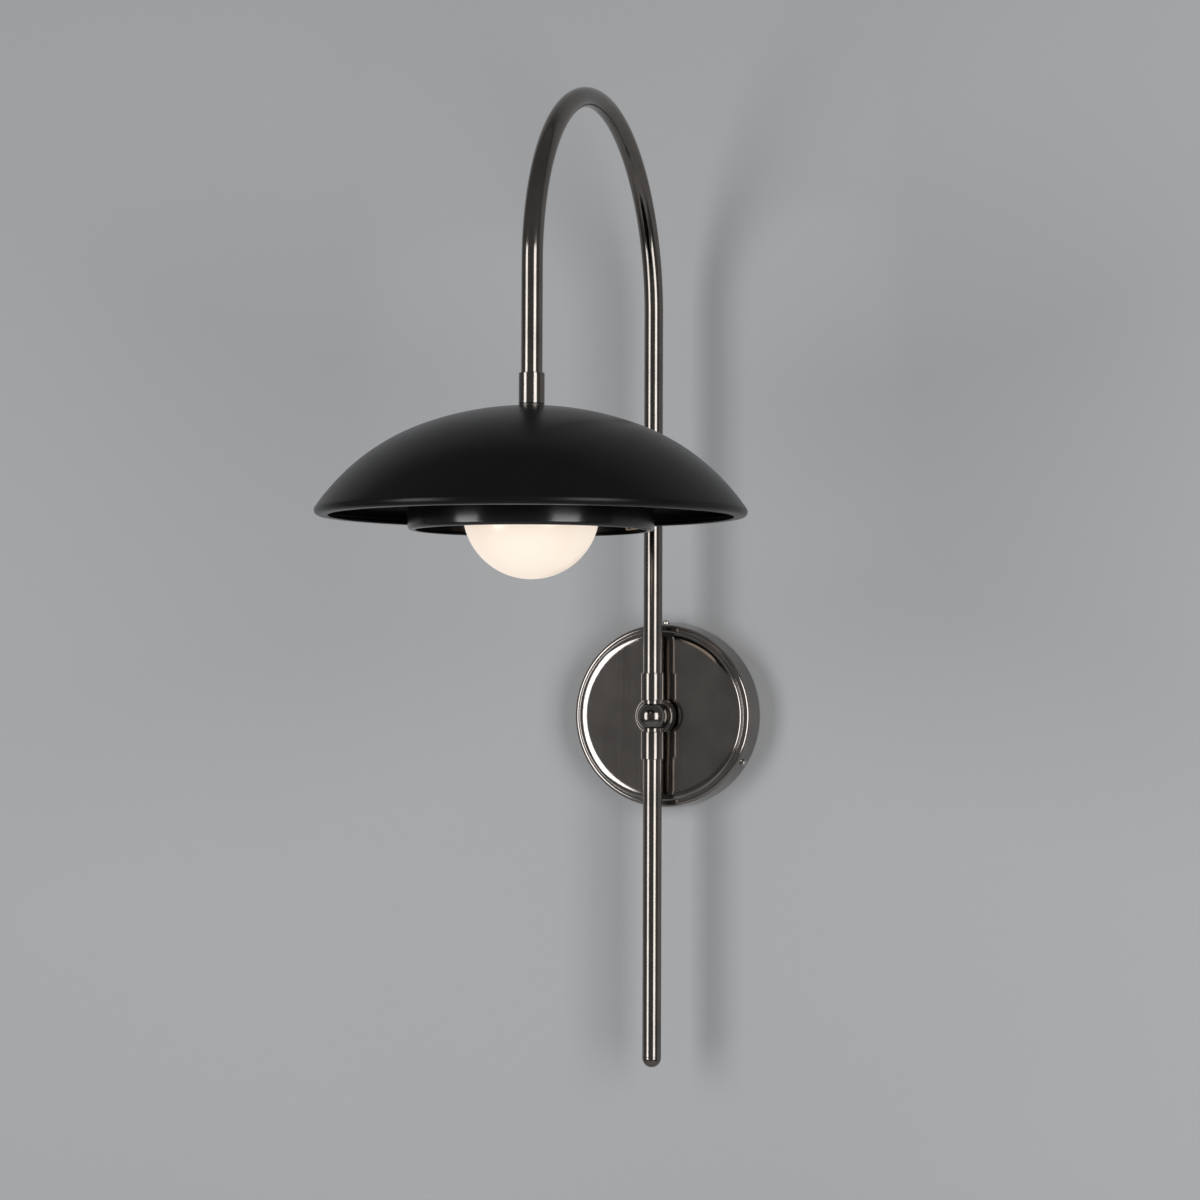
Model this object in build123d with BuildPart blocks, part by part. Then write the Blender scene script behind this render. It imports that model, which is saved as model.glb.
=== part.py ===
from build123d import *
import os
from math import asin, atan2, cos, degrees, radians, sin, sqrt

# Wall light with a gooseneck arm and a hanging dome shade.
# Millimetres. The origin is the centre of the wall plate, on the wall.
# +X is to the right, +Y goes into the wall and +Z is up.

os.makedirs("parts", exist_ok=True)

# --- Driving dimensions -------------------------------------------------------

fit_gap = 0.05                    # radial play of a threaded or slipped joint
hole_gap = 0.15                   # radial play of a plain screw hole
rod_end_gap = 0.2                 # between a threaded rod and the tube beyond it

# Arm: two lengths of half inch tube, held above and below the hub
tube_diameter = 12.7
tube_wall = 1.2
arm_y = -42.3                     # axis of the stem in front of the wall
arm_reach = 243.0                 # from the stem's axis to the shade's axis
arch_centre_z = 271.2
stem_tip_z = -236.2
cap_body_length = 0.85            # straight part of the end cap
cap_spigot_length = 8.0

# Hollow threaded rods that join the metal parts and let the wires through
nipple_diameter = 10.0
nipple_bore = 7.0
nut_width = 14.0
nut_height = 3.0
washer_height = 1.5

# Turned collars on the ends of the tubes
collar_diameter = 15.4
collar_length = 18.5
collar_thread_length = 8.0
collar_chamfer = 0.4

# Hub: a ball on a round boss, with two short necks, drilled up, down and to the rear
ball_diameter = 21.0
hub_neck_radius = 6.5
boss_diameter = 26.8
boss_front_y = -41.0
boss_rear_y = -31.0
boss_edge = 1.2
hub_flat_z = 10.6                 # ends of the necks, which the collars butt against
groove_inner_radius = 10.3
groove_width = 1.1
groove_depth = 0.8
spacer_radius = 9.5
spacer_chamfer = 1.0
nipple_clear_z = 5.5              # where the upright nipples stop in the hub
canopy_nipple_front_y = -37.0
canopy_nipple_rear_y = -17.5

# Canopy: the round cover on the wall, a stamped sheet with a raised front
canopy_sheet = 1.2
canopy_foot_radius = 63.5
canopy_foot_depth = 2.0
canopy_shoulder_radius = 62.2
canopy_shoulder_y = -22.6
canopy_corner = 2.5
canopy_step = 0.5
canopy_face_y = -27.0
canopy_crown_radius = 57.9
canopy_flat_radius = 51.5
crown_arc = 16.0
crown_edge_arc = 2.0

# Mounting bracket inside the canopy, and the screws that hold the canopy on it
bracket_radius = 56.0
bracket_thickness = 2.0
bracket_hole_radius = 19.0
slot_spacing = 79.4               # suits wall boxes with screws 70 or 89 mm apart
slot_length = 18.3
slot_width = 4.8
tab_width = 12.0
tab_thickness = 1.5
tab_outer = 60.9
tab_inner = 50.0
tab_depth = 17.0
side_screw_depth = 11.5           # in front of the wall
side_screw_count = 3
side_screw_radius = 1.5
side_screw_length = 8.0
side_screw_seat = 63.0            # where the heads bear on the canopy's side
side_head_radius = 2.3
side_head_height = 2.3
side_head_rounding = 1.6
ground_screw_place = (-22.0, 30.0)
ground_screw_radius = 2.0
ground_head_radius = 4.2
ground_head_height = 2.4
ground_slot_width = 1.0
ground_slot_depth = 0.9

# Shade: a spun dome with a lip turned in at its rim
shade_sheet = 1.2
shade_radius = 127.6
shade_rim_z = 121.2
shade_height = 65.5
shade_crown_arc = 185.0
shade_arc_joint = 65.8            # radius at which the two arcs of the dome meet
shade_flat = 12.0                 # radius of the pressed flat at the top
shade_corner = 3.0
shade_lip_radius = 119.6
seat_radius = 7.6
seat_height = 1.6
shade_washer_radius = 11.5

# Glare ring inside the shade, its hanger and the two headless screws welded inside the ring
ring_radius = 72.8
ring_sheet = 1.2
ring_low_z = 113.0
ring_high_z = 152.0
ring_corner = 2.5
ring_lip_radius = 68.5
hanger_width = 12.0
hanger_thickness = 1.5
hanger_flat = 20.0
hanger_shoulder_z = 151.0
hanger_foot_z = 115.6
hanger_bend = 5.0
ring_screw_z = 119.5
ring_screw_angle = 50.0
ring_screw_radius = 1.5
ring_screw_end = 0.4              # how far a ring screw stands out of its nut
ring_screw_chamfer = 0.3
ring_nut_width = 5.5
ring_nut_height = 2.2

# Glass globe, its carrier and holder, and the lamp inside
globe_radius = 40.5
globe_glass = 2.0
globe_z = 125.0
neck_radius = 18.0
neck_bore = 16.2
neck_fillet = 3.0
neck_top_z = 174.8
thread_ring_outer = 15.9
thread_ring_inner = 14.6
thread_ring_low_z = 164.0
thread_ring_high_z = 174.5
carrier_radius = 18.0
carrier_low_z = 175.1
carrier_high_z = 179.1
skirt_radius = 14.3
skirt_bore = 12.0
skirt_low_z = 161.0
holder_radius = 11.2
holder_low_z = 155.0
holder_chamfer = 0.6
holder_screw_offset = 7.5
holder_screw_radius = 1.2
holder_screw_end_z = 178.1
holder_head_radius = 2.4
holder_head_height = 2.0
holder_head_depth = 3.0           # how far the screw heads sit up inside the ceramic
pin_spacing = 9.0
pin_width = 2.0
pin_thickness = 0.7
pin_top_z = 165.5
pin_slot_length = 3.4
pin_slot_width = 2.6
pin_slot_top_z = 169.0
clip_low_z = 160.0
clip_gap = 1.3
clip_sheet = 0.5
capsule_radius = 7.5
capsule_chamfer = 0.5
capsule_top_z = 154.7
capsule_low_z = 108.5

# --- Values worked out from them ----------------------------------------------

tube_radius = tube_diameter / 2
tube_bore_radius = tube_radius - tube_wall
nipple_radius = nipple_diameter / 2
thread_radius = nipple_radius + fit_gap
collar_radius = collar_diameter / 2
ball_radius = ball_diameter / 2
boss_radius = boss_diameter / 2
boss_depth = boss_rear_y - boss_front_y

arch_radius = arm_reach / 2
shade_y = arm_y - arm_reach
tube_start_z = hub_flat_z + collar_thread_length
cap_seam_z = stem_tip_z + tube_radius + cap_body_length

shade_axis = Axis((0, shade_y, 0), (0, 0, 1))
shade_section = Plane((0, shade_y, 0), x_dir=(1, 0, 0), z_dir=(0, -1, 0))
shade_centre_z = shade_rim_z + shade_height - shade_crown_arc
flat_turn = asin(shade_flat / shade_crown_arc)
shade_top_z = shade_centre_z + (shade_crown_arc - shade_sheet / 2) * cos(flat_turn) + shade_sheet / 2
shade_under_z = shade_top_z - shade_sheet
shade_collar_z = shade_top_z + seat_height
arm_end_z = shade_collar_z + collar_thread_length

canopy_inside_y = canopy_face_y + canopy_sheet
hanger_top_z = carrier_high_z + hanger_thickness
holder_height = carrier_low_z - holder_low_z

bottom_up = (Align.CENTER, Align.CENTER, Align.MIN)
top_down = (Align.CENTER, Align.CENTER, Align.MAX)
wall = Plane.XZ                                    # its height grows away from the wall
stem = Plane((0, arm_y, 0))                        # upright, on the stem's axis
drop = Plane((0, shade_y, 0))                      # upright, on the shade's axis


def turned_ring(outer, inner, low, high):
    """Add a plain ring between two heights of the working plane."""
    with Locations((0, 0, low)):
        Cylinder(outer, high - low, align=bottom_up)
        Cylinder(inner, high - low, align=bottom_up, mode=Mode.SUBTRACT)


def hexagon(plane, width, bore, low, height):
    """Add a six-sided nut at the given height above a plane."""
    with BuildSketch(plane.offset(low)) as outline:
        RegularPolygon(width / 2, 6, major_radius=False)
        Circle(bore, mode=Mode.SUBTRACT)
    extrude(outline.sketch, amount=height)


def save(piece, name):
    """Label a finished piece and write it to its own file."""
    piece.part.label = name
    export_step(piece.part, f"parts/{name}.step")


# --- On the wall: bracket, canopy and their screws ----------------------------

with BuildPart(wall) as mounting_bracket:
    with BuildSketch(wall):
        Circle(bracket_radius)
        with PolarLocations((tab_outer + tab_inner) / 2, side_screw_count, start_angle=90):
            Rectangle(tab_outer - tab_inner, tab_width)
        Circle(bracket_hole_radius, mode=Mode.SUBTRACT)
        with GridLocations(slot_spacing, 0, 2, 1):
            SlotOverall(slot_length, slot_width, mode=Mode.SUBTRACT)
        with Locations(ground_screw_place):
            Circle(ground_screw_radius + fit_gap, mode=Mode.SUBTRACT)
    extrude(amount=bracket_thickness)
    with PolarLocations(tab_outer - tab_thickness / 2, side_screw_count, start_angle=90):
        Box(tab_thickness, tab_width, tab_depth, align=bottom_up)
    with Locations((0, 0, side_screw_depth)), PolarLocations(tab_inner, side_screw_count, start_angle=90):
        Cylinder(side_screw_radius + fit_gap, tab_outer - tab_inner, rotation=(0, 90, 0),
                 align=bottom_up, mode=Mode.SUBTRACT)
save(mounting_bracket, "mounting_bracket")

with BuildPart(wall) as ground_screw:
    with Locations((*ground_screw_place, bracket_thickness)):
        Cylinder(ground_head_radius, ground_head_height, align=bottom_up)
        Cylinder(ground_screw_radius, bracket_thickness, align=top_down)
    with Locations((*ground_screw_place, bracket_thickness + ground_head_height)):
        Box(2 * ground_head_radius, ground_slot_width, ground_slot_depth, align=top_down, mode=Mode.SUBTRACT)
save(ground_screw, "ground_screw")

# The canopy's section is the middle of its sheet, traced at the sheet's thickness.
canopy_half = canopy_sheet / 2
crown_width = canopy_crown_radius - canopy_flat_radius
crown_turn = degrees(asin((crown_width - crown_edge_arc) / (crown_arc - crown_edge_arc)))
foot_taper = degrees(atan2(canopy_foot_radius - canopy_shoulder_radius,
                           -canopy_shoulder_y - canopy_corner - canopy_foot_depth))

with BuildPart() as canopy:
    with BuildSketch(Plane.XY) as canopy_section:
        with BuildLine(Plane.XY) as canopy_middle:
            face_y = canopy_face_y + canopy_half
            face = Line((thread_radius, face_y), (canopy_flat_radius, face_y))
            crown = JernArc(face @ 1, face % 1, crown_arc - canopy_half, crown_turn)
            edge = JernArc(crown @ 1, crown % 1, crown_edge_arc - canopy_half, 90 - crown_turn)
            step_start = canopy_shoulder_y - canopy_step
            side = Line(edge @ 1, (canopy_crown_radius - canopy_half, step_start))
            inner_bend = JernArc(side @ 1, side % 1, canopy_step + canopy_half, -90)
            shoulder_end = canopy_shoulder_radius - canopy_corner
            shoulder = Line(inner_bend @ 1, (shoulder_end, canopy_shoulder_y + canopy_half))
            corner = JernArc(shoulder @ 1, shoulder % 1, canopy_corner - canopy_half, 90 - foot_taper)
            skirt = Line(corner @ 1, (canopy_foot_radius - canopy_half, -canopy_foot_depth))
            Line(skirt @ 1, (canopy_foot_radius - canopy_half, 0))
        trace(line_width=canopy_sheet)
    revolve(axis=Axis.Y)
    with Locations(Location(wall.offset(side_screw_depth))):
        with PolarLocations(tab_inner, side_screw_count, start_angle=90):
            Cylinder(side_screw_radius + hole_gap, canopy_foot_radius - tab_inner, rotation=(0, 90, 0),
                     align=bottom_up, mode=Mode.SUBTRACT)
save(canopy, "canopy")

with BuildPart(wall.offset(side_screw_depth)) as canopy_screws:
    with PolarLocations(side_screw_seat, side_screw_count, start_angle=90):
        Cylinder(side_head_radius, side_head_height, rotation=(0, 90, 0), align=bottom_up)
    head_edges = canopy_screws.edges().filter_by(GeomType.CIRCLE)
    fillet(head_edges.sort_by_distance((0, -side_screw_depth, 0))[-side_screw_count:], side_head_rounding)
    with PolarLocations(side_screw_seat - side_screw_length, side_screw_count, start_angle=90):
        Cylinder(side_screw_radius, side_screw_length, rotation=(0, 90, 0), align=bottom_up)
save(canopy_screws, "canopy_screws")

with BuildPart(wall) as canopy_nipple:
    turned_ring(nipple_radius, nipple_bore / 2, -canopy_nipple_rear_y, -canopy_nipple_front_y)
save(canopy_nipple, "canopy_nipple")

with BuildPart(wall) as canopy_washer:
    turned_ring(spacer_radius, thread_radius, -canopy_inside_y - washer_height, -canopy_inside_y)
save(canopy_washer, "canopy_washer")

with BuildPart(wall) as canopy_nut:
    hexagon(wall, nut_width, thread_radius, -canopy_inside_y - washer_height - nut_height, nut_height)
save(canopy_nut, "canopy_nut")

# --- Hub ----------------------------------------------------------------------

with BuildPart(wall) as hub_spacer:
    turned_ring(spacer_radius, thread_radius, -canopy_face_y, -boss_rear_y)
    spacer_edges = hub_spacer.edges().filter_by(GeomType.CIRCLE).group_by(SortBy.RADIUS)[-1]
    chamfer(spacer_edges.sort_by(Axis.Y)[0], spacer_chamfer)
save(hub_spacer, "hub_spacer")

with BuildPart() as hub_body:
    with BuildSketch(Plane.XY) as hub_section:
        with Locations((0, boss_front_y)):
            Rectangle(2 * boss_radius, boss_depth, align=(Align.CENTER, Align.MIN))
        fillet(hub_section.vertices(), boss_edge)
        with Locations((groove_inner_radius, boss_front_y)):
            Rectangle(groove_width, groove_depth, align=(Align.MIN, Align.MIN), mode=Mode.SUBTRACT)
        with Locations((0, arm_y)):
            Circle(ball_radius)
        with Locations((0, arm_y)):
            Rectangle(boss_diameter, boss_diameter, align=(Align.MAX, Align.CENTER), mode=Mode.SUBTRACT)
    revolve(axis=Axis.Y)
    with Locations((0, arm_y, 0)):
        Box(boss_diameter, boss_diameter, 2 * hub_flat_z, mode=Mode.INTERSECT)
    with Locations((0, arm_y, 0)):
        Cylinder(hub_neck_radius, 2 * hub_flat_z)
    with Locations((0, arm_y, 0)):
        Cylinder(thread_radius, 2 * boss_diameter, mode=Mode.SUBTRACT)
    with Locations((0, arm_y, 0)):
        Cylinder(thread_radius, boss_rear_y - arm_y, rotation=(-90, 0, 0), align=bottom_up,
                 mode=Mode.SUBTRACT)
save(hub_body, "hub_body")

for name, flip in (("upper_nipple", 1), ("lower_nipple", -1)):
    low, high = sorted((flip * nipple_clear_z, flip * (tube_start_z - rod_end_gap)))
    with BuildPart(stem) as upright_nipple:
        turned_ring(nipple_radius, nipple_bore / 2, low, high)
    save(upright_nipple, name)


def collar(base):
    """A turned collar: a threaded end on the base plane and a socket for a tube above it."""
    with BuildPart(base) as turned:
        Cylinder(collar_radius, collar_length, align=bottom_up)
        chamfer(turned.edges().filter_by(GeomType.CIRCLE), collar_chamfer)
        Cylinder(thread_radius, collar_length, align=bottom_up, mode=Mode.SUBTRACT)
        with Locations((0, 0, collar_thread_length)):
            Cylinder(tube_radius + fit_gap, collar_length, align=bottom_up, mode=Mode.SUBTRACT)
    return turned


save(collar(stem.offset(hub_flat_z)), "upper_collar")
save(collar(Plane((0, arm_y, -hub_flat_z), z_dir=(0, 0, -1))), "lower_collar")
save(collar(drop.offset(shade_collar_z)), "shade_collar")

# --- Arm ----------------------------------------------------------------------

with BuildPart() as gooseneck_tube:
    with BuildLine(Plane.YZ) as arm_path:
        rise = Line((arm_y, tube_start_z), (arm_y, arch_centre_z))
        arch = JernArc(rise @ 1, rise % 1, arch_radius, 180)
        Line(arch @ 1, (shade_y, arm_end_z))
    with BuildSketch(stem.offset(tube_start_z)):
        Circle(tube_radius)
        Circle(tube_bore_radius, mode=Mode.SUBTRACT)
    sweep()
save(gooseneck_tube, "gooseneck_tube")

with BuildPart(stem) as lower_tube:
    turned_ring(tube_radius, tube_bore_radius, cap_seam_z, -tube_start_z)
save(lower_tube, "lower_tube")

with BuildPart(stem) as end_cap:
    with Locations((0, 0, cap_seam_z)):
        Cylinder(tube_radius, cap_body_length, align=top_down)
        Cylinder(tube_bore_radius - fit_gap, cap_spigot_length, align=bottom_up)
    with Locations((0, 0, cap_seam_z - cap_body_length)):
        Sphere(tube_radius, arc_size1=-90, arc_size2=0, align=top_down)
save(end_cap, "end_cap")

# --- Shade --------------------------------------------------------------------
# The dome's outline is two arcs that share a tangent, then a small corner onto the lip. The second
# arc's radius follows from the shade's own radius at that corner.

joint_turn = asin(shade_arc_joint / shade_crown_arc)
corner_x = shade_radius - shade_corner
corner_z = shade_rim_z + shade_corner
reach_x, reach_z = corner_x, corner_z - shade_centre_z
reach_along = reach_x * sin(joint_turn) + reach_z * cos(joint_turn)
inner_crown = shade_crown_arc - shade_corner
centre_shift = (reach_x**2 + reach_z**2 - inner_crown**2) / (2 * (reach_along - inner_crown))
shoulder_arc = shade_crown_arc - centre_shift
shoulder_x = centre_shift * sin(joint_turn)
shoulder_z = shade_centre_z + centre_shift * cos(joint_turn)
shade_half = shade_sheet / 2
crown_middle = shade_crown_arc - shade_half
shoulder_middle = shoulder_arc - shade_half
corner_middle = shade_corner - shade_half
lip_middle_z = shade_rim_z + shade_half
flat_angle = 90 - degrees(flat_turn)
joint_angle = 90 - degrees(joint_turn)
corner_angle = degrees(atan2(corner_z - shoulder_z, corner_x - shoulder_x))

with BuildPart() as shade_dome:
    with BuildSketch(shade_section):
        with BuildLine():
            crown = CenterArc((0, shade_centre_z), crown_middle, flat_angle, joint_angle - flat_angle)
            Line((thread_radius, (crown @ 0).Y), crown @ 0)
            CenterArc((shoulder_x, shoulder_z), shoulder_middle, joint_angle, corner_angle - joint_angle)
            CenterArc((corner_x, corner_z), corner_middle, corner_angle, -90 - corner_angle)
            Line((corner_x, lip_middle_z), (shade_lip_radius, lip_middle_z))
        trace(line_width=shade_sheet)
    revolve(axis=shade_axis)
save(shade_dome, "shade_dome")

with BuildPart(drop) as shade_seat:
    turned_ring(seat_radius, thread_radius, shade_top_z, shade_collar_z)
save(shade_seat, "shade_seat")

with BuildPart(drop) as shade_nipple:
    turned_ring(nipple_radius, nipple_bore / 2, carrier_low_z, arm_end_z - rod_end_gap)
save(shade_nipple, "shade_nipple")

with BuildPart(drop) as shade_washer:
    turned_ring(shade_washer_radius, thread_radius, shade_under_z - washer_height, shade_under_z)
save(shade_washer, "shade_washer")

with BuildPart(drop) as shade_nut:
    hexagon(drop, nut_width, thread_radius, hanger_top_z, shade_under_z - washer_height - hanger_top_z)
save(shade_nut, "shade_nut")

# --- Glare ring and its hanger ------------------------------------------------
# Both are worked on an upright plane through the shade's axis and the two ring screws.

turn = radians(ring_screw_angle)
outward = Vector(cos(turn), sin(turn), 0)
hanger_section = Plane((0, shade_y, 0), x_dir=outward, z_dir=(sin(turn), -cos(turn), 0))
screw_plane = Plane((0, shade_y, ring_screw_z), x_dir=(0, 0, 1), z_dir=outward)
hanger_outside = sqrt((ring_radius - ring_sheet)**2 - (hanger_width / 2)**2) - fit_gap
hanger_leg = hanger_outside - hanger_thickness / 2
ring_nut_seat = hanger_outside - hanger_thickness
ring_nut_inside = ring_nut_seat - ring_nut_height

with BuildPart() as ring_hanger:
    with BuildSketch(hanger_section):
        with BuildLine():
            hanger_middle_z = hanger_top_z - hanger_thickness / 2
            FilletPolyline((-hanger_leg, hanger_foot_z), (-hanger_leg, hanger_shoulder_z),
                           (-hanger_flat, hanger_middle_z), (hanger_flat, hanger_middle_z),
                           (hanger_leg, hanger_shoulder_z), (hanger_leg, hanger_foot_z), radius=hanger_bend)
        trace(line_width=hanger_thickness)
    extrude(amount=hanger_width / 2, both=True)
    with Locations((0, shade_y, hanger_top_z)):
        Cylinder(thread_radius, 4 * hanger_thickness, mode=Mode.SUBTRACT)
    with Locations(screw_plane.location):
        Cylinder(ring_screw_radius + fit_gap, 3 * ring_radius, mode=Mode.SUBTRACT)
save(ring_hanger, "ring_hanger")

with BuildPart() as glare_ring:
    with BuildSketch(hanger_section):
        with BuildLine():
            ring_middle = ring_radius - ring_sheet / 2
            lip_z = ring_low_z + ring_sheet / 2
            band = Line((ring_middle, ring_high_z), (ring_middle, ring_low_z + ring_corner))
            bend = JernArc(band @ 1, band % 1, ring_corner - ring_sheet / 2, -90)
            Line(bend @ 1, (ring_lip_radius, lip_z))
        trace(line_width=ring_sheet)
    revolve(axis=shade_axis)
save(glare_ring, "glare_ring")

with BuildPart() as ring_screws:
    with Locations(screw_plane.location):
        Cylinder(ring_screw_radius, 2 * ring_radius)
        Cylinder(ring_screw_radius, 2 * (ring_nut_inside - ring_screw_end), mode=Mode.SUBTRACT)
    inner_edges = ring_screws.edges().filter_by(GeomType.CIRCLE).sort_by_distance(screw_plane.origin)[:2]
    chamfer(inner_edges, ring_screw_chamfer)
    with Locations((0, shade_y, ring_low_z)):
        Cylinder(ring_radius - ring_sheet, ring_high_z - ring_low_z, align=bottom_up, mode=Mode.INTERSECT)
save(ring_screws, "ring_screws")

with BuildPart() as ring_nuts:
    for side in (1, -1):
        nut_plane = Plane(screw_plane.origin, x_dir=(0, 0, 1), z_dir=side * outward)
        hexagon(nut_plane, ring_nut_width, ring_screw_radius + fit_gap, ring_nut_inside, ring_nut_height)
save(ring_nuts, "ring_nuts")

# --- Globe carrier and lampholder ---------------------------------------------

with BuildPart(drop) as globe_carrier:
    turned_ring(carrier_radius, thread_radius, carrier_low_z, carrier_high_z)
    with Locations((0, 0, skirt_low_z)):
        Cylinder(skirt_radius, carrier_low_z - skirt_low_z, align=bottom_up)
        Cylinder(skirt_bore, carrier_low_z - skirt_low_z, align=bottom_up, mode=Mode.SUBTRACT)
    with Locations((0, 0, carrier_low_z)), GridLocations(0, 2 * holder_screw_offset, 1, 2):
        Cylinder(holder_screw_radius + fit_gap, holder_screw_end_z - carrier_low_z, align=bottom_up,
                 mode=Mode.SUBTRACT)
save(globe_carrier, "globe_carrier")

with BuildPart(drop) as lampholder:
    with Locations((0, 0, holder_low_z)):
        Cylinder(holder_radius, holder_height, align=bottom_up)
    chamfer(lampholder.edges().sort_by(Axis.Z)[0], holder_chamfer)
    with Locations((0, 0, holder_low_z)), GridLocations(pin_spacing, 0, 2, 1):
        Box(pin_slot_length, pin_slot_width, pin_slot_top_z - holder_low_z, align=bottom_up,
            mode=Mode.SUBTRACT)
    with Locations((0, 0, pin_slot_top_z)):
        Box(pin_spacing + pin_slot_length, pin_slot_width, carrier_low_z - pin_slot_top_z, align=bottom_up,
            mode=Mode.SUBTRACT)
    with Locations((0, 0, holder_low_z)), GridLocations(0, 2 * holder_screw_offset, 1, 2):
        Cylinder(holder_screw_radius + fit_gap, holder_height, align=bottom_up, mode=Mode.SUBTRACT)
        Cylinder(holder_head_radius + 2 * fit_gap, holder_head_depth, align=bottom_up, mode=Mode.SUBTRACT)
save(lampholder, "lampholder")

with BuildPart(drop) as holder_screws:
    head_z = holder_low_z + holder_head_depth
    with Locations((0, 0, head_z)), GridLocations(0, 2 * holder_screw_offset, 1, 2):
        Cylinder(holder_head_radius, holder_head_height, align=top_down)
        Cylinder(holder_screw_radius, holder_screw_end_z - head_z, align=bottom_up)
save(holder_screws, "holder_screws")

with BuildPart(drop) as holder_contacts:
    clip_depth = pin_slot_width - 2 * fit_gap
    clip_height = pin_slot_top_z - clip_low_z
    with Locations((0, 0, clip_low_z)), GridLocations(pin_spacing, 0, 2, 1):
        Box(clip_gap + 2 * clip_sheet, clip_depth, clip_height, align=bottom_up)
        Box(clip_gap, clip_depth, clip_height - clip_sheet, align=bottom_up, mode=Mode.SUBTRACT)
save(holder_contacts, "holder_contacts")

# --- Globe and lamp -----------------------------------------------------------

with BuildPart(drop) as globe_thread_ring:
    turned_ring(thread_ring_outer, thread_ring_inner, thread_ring_low_z, thread_ring_high_z)
save(globe_thread_ring, "globe_thread_ring")

with BuildPart(drop) as opal_globe:
    with Locations((0, 0, globe_z)):
        Sphere(globe_radius)
        Cylinder(neck_radius, neck_top_z - globe_z, align=bottom_up)
    fillet(opal_globe.edges().filter_by(GeomType.CIRCLE).sort_by(Axis.Z)[-2], neck_fillet)
    with Locations((0, 0, globe_z)):
        Sphere(globe_radius - globe_glass, mode=Mode.SUBTRACT)
        Cylinder(neck_bore, neck_top_z - globe_z, align=bottom_up, mode=Mode.SUBTRACT)
save(opal_globe, "opal_globe")

with BuildPart(drop) as lamp_capsule:
    with Locations((0, 0, capsule_low_z + capsule_radius)):
        Cylinder(capsule_radius, capsule_top_z - capsule_low_z - capsule_radius, align=bottom_up)
        Sphere(capsule_radius)
    chamfer(lamp_capsule.edges().sort_by(Axis.Z)[-1], capsule_chamfer)
save(lamp_capsule, "lamp_capsule")

with BuildPart(drop) as lamp_pins:
    with Locations((0, 0, capsule_top_z)), GridLocations(pin_spacing, 0, 2, 1):
        Box(pin_thickness, pin_width, pin_top_z - capsule_top_z, align=bottom_up)
save(lamp_pins, "lamp_pins")
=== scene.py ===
import math

import bpy
from bpy.props import FloatProperty, FloatVectorProperty, PointerProperty
from mathutils import Matrix, Vector


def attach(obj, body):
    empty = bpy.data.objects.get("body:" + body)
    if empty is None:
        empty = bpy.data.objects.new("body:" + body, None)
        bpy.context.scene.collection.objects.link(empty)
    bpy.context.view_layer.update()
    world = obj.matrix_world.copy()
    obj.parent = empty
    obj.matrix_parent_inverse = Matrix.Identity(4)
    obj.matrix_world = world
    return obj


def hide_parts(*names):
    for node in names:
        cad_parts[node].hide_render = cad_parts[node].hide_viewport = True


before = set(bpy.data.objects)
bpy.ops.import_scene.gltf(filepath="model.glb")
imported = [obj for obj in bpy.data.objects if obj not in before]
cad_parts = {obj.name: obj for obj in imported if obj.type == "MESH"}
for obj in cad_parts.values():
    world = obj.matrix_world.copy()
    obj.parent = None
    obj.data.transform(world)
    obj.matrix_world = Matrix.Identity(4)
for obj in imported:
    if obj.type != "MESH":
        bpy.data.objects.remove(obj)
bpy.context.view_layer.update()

bl_info = {
    "name": "Gooseneck wall light",
    "version": (1, 0, 0),
    "blender": (4, 5, 0),
    "location": "View3D > Sidebar > Wall light",
    "description": "Builds the visible pieces of a gooseneck wall light around its CAD frame",
    "category": "Add Mesh",
}

MM = 0.001
UP = Vector((0, 0, 1))
OUT_OF_WALL = Vector((0, -1, 0))
QUARTER = math.pi / 2
EDGE = 0.15 * MM  # rounding of an edge that looks sharp
SHARP_ANGLE = math.radians(32)  # edges that turn more than this stay sharp
MERGE_DISTANCE = 1e-7  # points closer than this are merged
NOISE_RANGE = (0.3, 0.7)  # where most of a noise pattern's values lie
BACKDROP_GAP = 0.6 * MM  # between the canopy's foot and the backdrop
BACKDROP_SPREAD = 65  # how far the backdrop reaches, in radii of its opening
FLOOR_Z = -1.3
FLOOR_SIZE = 10.0
SENSOR_WIDTH = 36.0  # of the camera, in millimetres


# --- Sizes and colours a user would change -------------------------------------

def length(name, millimetres, description):
    """A size in the panel, written in millimetres and kept in metres."""
    return FloatProperty(name=name, description=description, default=millimetres * MM, unit="LENGTH",
                         precision=5)


def angle(name, degrees, description):
    """An angle in the panel, written in degrees and kept in radians."""
    return FloatProperty(name=name, description=description, default=math.radians(degrees), unit="ROTATION")


def angles(name, degrees, description):
    """A pair of angles in the panel."""
    return FloatVectorProperty(name=name, description=description, size=2, unit="ROTATION",
                               default=[math.radians(value) for value in degrees])


def amount(name, value, description):
    """A number that isn't below zero."""
    return FloatProperty(name=name, description=description, default=value, min=0.0)


def colour(name, value, description):
    """A colour in the panel."""
    return FloatVectorProperty(name=name, description=description, default=value, subtype="COLOR", size=3,
                               min=0.0, max=1.0)


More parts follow.
